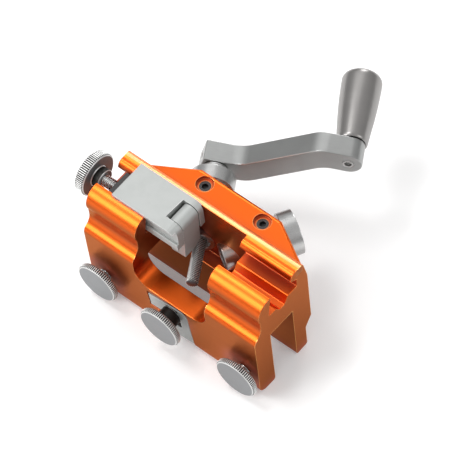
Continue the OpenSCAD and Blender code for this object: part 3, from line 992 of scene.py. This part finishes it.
@dataclass
class Stud:
    """A threaded stud with a plain point at each end."""

    pitch: float
    rows_a_turn: int = 8
    plain_rows: int = 2
    depth_share: float = 0.6
    groove_share: float = 0.9
    crest_slack: float = 0.01 * MM
    chamfer: float = 0.5 * MM
    columns: int = 40
    sharp: float = 50.0

    def build(self, maker: Maker, node: str, joint: str, material: bpy.types.Material) -> None:
        """Makes the stud on its joint's axis.

        Args:
            maker: the piece maker.
            node: the stud's solid.
            joint: the hinge of its wheel.
            material: its finish.
        """
        axis = Axis.of_joint(maker.frame, joint)
        low, high, radius = axis.span(maker.frame["nodes"][node])
        count = round((high - low) / self.pitch * self.rows_a_turn)
        run = [low + (high - low) * i / count for i in range(count + 1)]
        point = radius - self.chamfer

        def thread(turn: float, height: float, reach: float) -> float:
            """The thread's groove at one place of the stud."""
            if reach < radius - self.crest_slack:
                return 0.0
            groove = saw(height / self.pitch - turn / math.tau, self.groove_share)
            return -self.depth_share * self.pitch * groove

        threaded = [(radius, height) for height in run[self.plain_rows:-self.plain_rows]]
        rows = [(0, low), (point, low)] + threaded + [(point, high), (0, high)]
        shape = Turned(rows, self.sharp, self.columns, thread)
        maker.settle(shape.build(node + "_threaded", axis), node, material)


@dataclass
class Burr:
    """A burr cutter: helical flutes on a straight body with a rounded tip."""

    flutes: int = 14
    points_a_flute: int = 10
    lead: float = 16.3 * MM
    depth: float = 0.42 * MM
    back_share: float = 0.8
    tip: float = 0.9 * MM
    tip_steps: int = 6
    row_step: float = 0.22 * MM
    sharp: float = 60.0

    def build(self, maker: Maker, node: str, joint: str, material: bpy.types.Material) -> None:
        """Makes the burr on the crank's axis.

        Args:
            maker: the piece maker.
            node: the burr's solid.
            joint: the crank's hinge.
            material: its finish.
        """
        axis = Axis.of_joint(maker.frame, joint)
        low, high, radius = axis.span(maker.frame["nodes"][node])

        def flute(turn: float, height: float, reach: float) -> float:
            """The flute's cut at one place of the burr, shallower towards the tip's middle."""
            place = (turn / math.tau - height / self.lead) * self.flutes % 1.0
            back = self.back_share
            cut = place / back if place < back else (1 - place) / (1 - back)
            return -self.depth * min(1.0, reach / radius) ** 2 * cut

        rows = [(0, low)]
        for i in range(1, self.tip_steps + 1):
            bend = QUARTER * i / self.tip_steps
            rows.append((radius - self.tip * (1 - math.sin(bend)), low + self.tip * (1 - math.cos(bend))))
        straight = high - low - self.tip
        count = round(straight / self.row_step)
        rows += [(radius, low + self.tip + straight * i / count) for i in range(1, count + 1)]
        rows.append((0, high))
        shape = Turned(rows, self.sharp, self.flutes * self.points_a_flute, flute)
        maker.settle(shape.build("burr_fluted", axis), node, material)


@dataclass
class Grip:
    """The crank's turned grip: it swells from its base to a round end with a recess for the pin's head."""

    base_share: float = 0.762
    base_bevel: float = 0.4 * MM
    swell_steps: int = 28
    round_end: float = 3 * MM
    round_steps: int = 8
    recess_r: float = 4.8 * MM
    recess_d: float = 2.7 * MM
    recess_bevel: float = 0.3 * MM
    bore_r: float = 2.54 * MM
    sharp: float = 40.0

    def outline(self, radius: float, length: float) -> Outline:
        """The grip's outline, from its bore over its outside and back through the recess to its bore.

        Args:
            radius: the grip's widest radius.
            length: its length.
        Returns:
            Points of (radius, height).
        """
        base = radius * self.base_share
        swell = length - self.round_end
        points = [(self.bore_r, 0), (base - self.base_bevel, 0), (base, self.base_bevel)]
        for i in range(1, self.swell_steps + 1):
            wider = (radius - base) * math.sin(QUARTER * i / self.swell_steps)
            points.append((base + wider, self.base_bevel + (swell - self.base_bevel) * i / self.swell_steps))
        for i in range(1, self.round_steps + 1):
            bend = QUARTER * i / self.round_steps
            narrower = self.round_end * (1 - math.cos(bend))
            points.append((radius - narrower, swell + self.round_end * math.sin(bend)))
        floor = length - self.recess_d
        points += [(self.recess_r + self.recess_bevel, length), (self.recess_r, length - self.recess_bevel)]
        return points + [(self.recess_r, floor), (self.bore_r, floor), (self.bore_r, 0)]

    def build(self, maker: Maker, node: str, joint: str, material: bpy.types.Material) -> None:
        """Makes the grip on its axis, with its place in its mesh, because its finish reads the row frame.

        Args:
            maker: the piece maker.
            node: the grip's solid.
            joint: the hinge it spins on.
            material: its finish.
        """
        axis = Axis.of_joint(maker.frame, joint)
        low, high, radius = axis.span(maker.frame["nodes"][node])
        shape = Turned(self.outline(radius, high - low), self.sharp)
        piece = shape.build("grip_turned", axis.moved(low))
        piece.data.transform(piece.matrix_world)
        piece.matrix_world = Matrix.Identity(4)
        maker.settle(piece, node, material)


@dataclass
class Camera:
    """The photograph's view: a long lens above the front right corner."""

    azimuth: float = 45.997
    elevation: float = 57.711
    roll: float = -7.714
    lens: float = 209.6
    sensor: float = 36.0
    aim_right: float = -15.552 * MM
    aim_up: float = -14.66 * MM
    distance: float = 1092.05 * MM
    roof_height: float = 5.3 * MM
    nearest: float = 0.05
    farthest: float = 20.0

    def build(self) -> None:
        """Makes the camera and sets it as the scene's own."""
        around, above, tip = (math.radians(angle) for angle in (self.azimuth, self.elevation, self.roll))
        level = math.cos(above)
        back = Vector((math.sin(around) * level, -math.cos(around) * level, math.sin(above)))
        right = Vector(UPWARD).cross(back).normalized()
        up = back.cross(right)
        tilted_right = right * math.cos(tip) + up * math.sin(tip)
        tilted_up = up * math.cos(tip) - right * math.sin(tip)
        turn = Matrix((tilted_right, tilted_up, back)).transposed()
        place = back * self.distance - tilted_right * self.aim_right - tilted_up * self.aim_up
        place -= Vector((0, 0, self.roof_height))
        data = bpy.data.cameras.new("camera")
        data.lens = self.lens
        data.sensor_width = self.sensor
        data.clip_start = self.nearest
        data.clip_end = self.farthest
        camera = bpy.data.objects.new("camera", data)
        bpy.context.scene.collection.objects.link(camera)
        camera.matrix_world = Matrix.Translation(place) @ turn.to_4x4()
        bpy.context.scene.camera = camera


@dataclass(frozen=True)
class SoftBox:
    """A rectangular lamp that looks at the part: its place and size in metres, its power in watts."""

    name: str
    place: tuple[float, float, float]
    size: tuple[float, float]
    power: float

    def build(self) -> None:
        """Hangs the lamp."""
        data = bpy.data.lights.new(self.name, "AREA")
        data.shape = "RECTANGLE"
        data.size, data.size_y = self.size
        data.energy = self.power
        lamp = bpy.data.objects.new(self.name, data)
        lamp.location = self.place
        lamp.rotation_euler = Vector(self.place).to_track_quat("Z", "Y").to_euler()
        bpy.context.scene.collection.objects.link(lamp)


@dataclass
class Studio:
    """Pale floor, soft boxes and an even surround."""

    floor_drop: float = 0.2 * MM
    floor_size: float = 24.0
    floor_tone: Colour = (0.86, 0.86, 0.86)
    floor_rough: float = 0.9
    floor_lift: float = 0.2
    fleck_tone: Colour = (0.9, 0.9, 0.9)
    fleck_cell: float = 40 * MM
    fleck_share: float = 0.1
    zenith: float = 0.65
    horizon: float = 0.40
    lamps: tuple[SoftBox, ...] = (
        SoftBox("key", place=(-0.55, 0.50, 1.15), size=(0.9, 0.7), power=1.12),
        SoftBox("front", place=(-0.50, -0.90, 0.78), size=(0.5, 0.7), power=7.5),
        SoftBox("top", place=(-0.48, -0.09, 1.15), size=(0.4, 0.25), power=4.0),
        SoftBox("side", place=(0.95, 0.25, 0.65), size=(0.5, 0.5), power=1.6),
        SoftBox("rim", place=(-0.56, 1.2, 0.63), size=(0.4, 0.7), power=6.0))

    def build(self, low: Vector) -> None:
        """Makes the floor under the part, the lamps and the surround.

        Args:
            low: the part's lowest corner.
        """
        self.floor(low.z - self.floor_drop)
        for lamp in self.lamps:
            lamp.build()
        self.surround()

    def floor(self, height: float) -> None:
        """Makes the floor, a little brighter to the camera and in mirrors than the lamps make it.

        Args:
            height: its height, in metres.
        """
        bpy.ops.mesh.primitive_plane_add(size=self.floor_size, location=(0, 0, height))
        floor = bpy.context.object
        floor.name = "floor"
        g = Graph(bpy.data.materials.new("pale_floor"))
        paper = g.mix(g.noise(self.fleck_cell) * self.fleck_share, self.floor_tone, self.fleck_tone)
        seen, mirrored, through = (g.node("ShaderNodeLightPath", out=ray)
                                   for ray in ("Is Camera Ray", "Is Glossy Ray", "Is Transmission Ray"))
        glow = g.mix((seen + mirrored + through).ramp(0, 1), (0, 0, 0), (self.floor_lift,) * 3)
        floor.data.materials.append(g.surface({"Base Color": paper, "Roughness": self.floor_rough,
                                               "Emission Color": glow, "Emission Strength": 1.0}))
        floor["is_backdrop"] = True

    def surround(self) -> None:
        """Makes the even surround, brighter overhead than at the horizon."""
        world = bpy.data.worlds.new("surround")
        g = Graph(world)
        height = g.split(g.node("ShaderNodeTexCoord", out="Generated"))[2]
        level = self.horizon + height.ramp(0, 1) * (self.zenith - self.horizon)
        sky = g.node("ShaderNodeBackground", None, {"Color": (1, 1, 1, 1), "Strength": level})
        g.node("ShaderNodeOutputWorld", None, {"Surface": sky})
        bpy.context.scene.world = world


@dataclass
class Jig:
    """The whole jig: which finish and which piece each solid gets."""

    maker: Maker
    finishes: Finishes
    snug: float = 0.6
    roomy: float = 1.4
    small_pitch: float = 0.8 * MM
    small_bore_r: float = 2.54 * MM
    large_pitch: float = 1.0 * MM
    large_bore_r: float = 3.04 * MM
    front_thick: float = 2.9 * MM
    front_seat: float = 2.3 * MM
    adjuster_thick: float = 4.6 * MM
    adjuster_seat: float = 3.0 * MM
    adjuster_bore_r: float = 2.5 * MM

    def build(self) -> None:
        """Dresses every solid."""
        self.shells()
        self.screws()
        self.crank()
        self.maker.paint("adjuster_clip", self.finishes.black)
        for node in ("cutter_shaft", "grip_pin", "pawl_pin", "thrust_washer"):
            self.maker.paint(node, self.finishes.steel)

    def shells(self) -> None:
        """Eases the edges of the pieces that keep their solid's shape, each by a width in millimetres."""
        f = self.finishes
        plan = [("body", f.orange, 0.35, self.roomy), ("pawl_carriage", f.satin, 0.3, self.roomy),
                ("pawl", f.satin, 0.3, self.snug), ("side_plate", f.satin, 0.25, self.snug),
                ("crank_arm", f.crank, 0.5, self.snug), ("thread_plate", f.black, 0.2, self.snug),
                ("left_bushing", f.steel, 0.4, self.snug), ("right_bushing", f.steel, 0.4, self.snug),
                ("bushing_set_screws", f.black, 0.2, self.snug), ("arm_set_screw", f.black, 0.2, self.snug)]
        for node, finish, ease, room in plan:
            self.maker.settle(self.maker.eased(node, ease * MM, room), node, finish)

    def screws(self) -> None:
        """Makes the wheels and studs of the four thumbscrews."""
        adjuster = Wheel(self.adjuster_thick, self.adjuster_seat, self.adjuster_bore_r)
        large = Wheel(self.front_thick, self.front_seat, self.large_bore_r)
        small = Wheel(self.front_thick, self.front_seat, self.small_bore_r)
        plan = [("adjuster", "adjuster_turn", adjuster, self.small_pitch),
                ("left_clamp", "left_clamp_turn", large, self.large_pitch),
                ("right_clamp", "right_clamp_turn", large, self.large_pitch),
                ("plate", "plate_screw_turn", small, self.small_pitch)]
        for name, joint, wheel, pitch in plan:
            wheel.build(self.maker, name + "_knob", joint, self.finishes.wheel)
            Stud(pitch).build(self.maker, name + "_stud", joint, self.finishes.thread)

    def crank(self) -> None:
        """Makes the burr and the grip."""
        Burr().build(self.maker, "carbide_cutter", "crank_turn", self.finishes.carbide)
        Grip().build(self.maker, "grip", "grip_spin", self.finishes.grip)


def main() -> None:
    """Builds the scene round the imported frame."""
    logging.basicConfig(level=logging.INFO, format="%(name)s: %(message)s")
    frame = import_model()
    solid_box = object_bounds()
    bpy.context.scene.view_settings.view_transform = "Standard"
    Camera().build()
    Studio().build(solid_box[0])
    Jig(Maker(frame), Finishes()).build()
    bpy.context.view_layer.update()


if __name__ == "__main__":
    main()
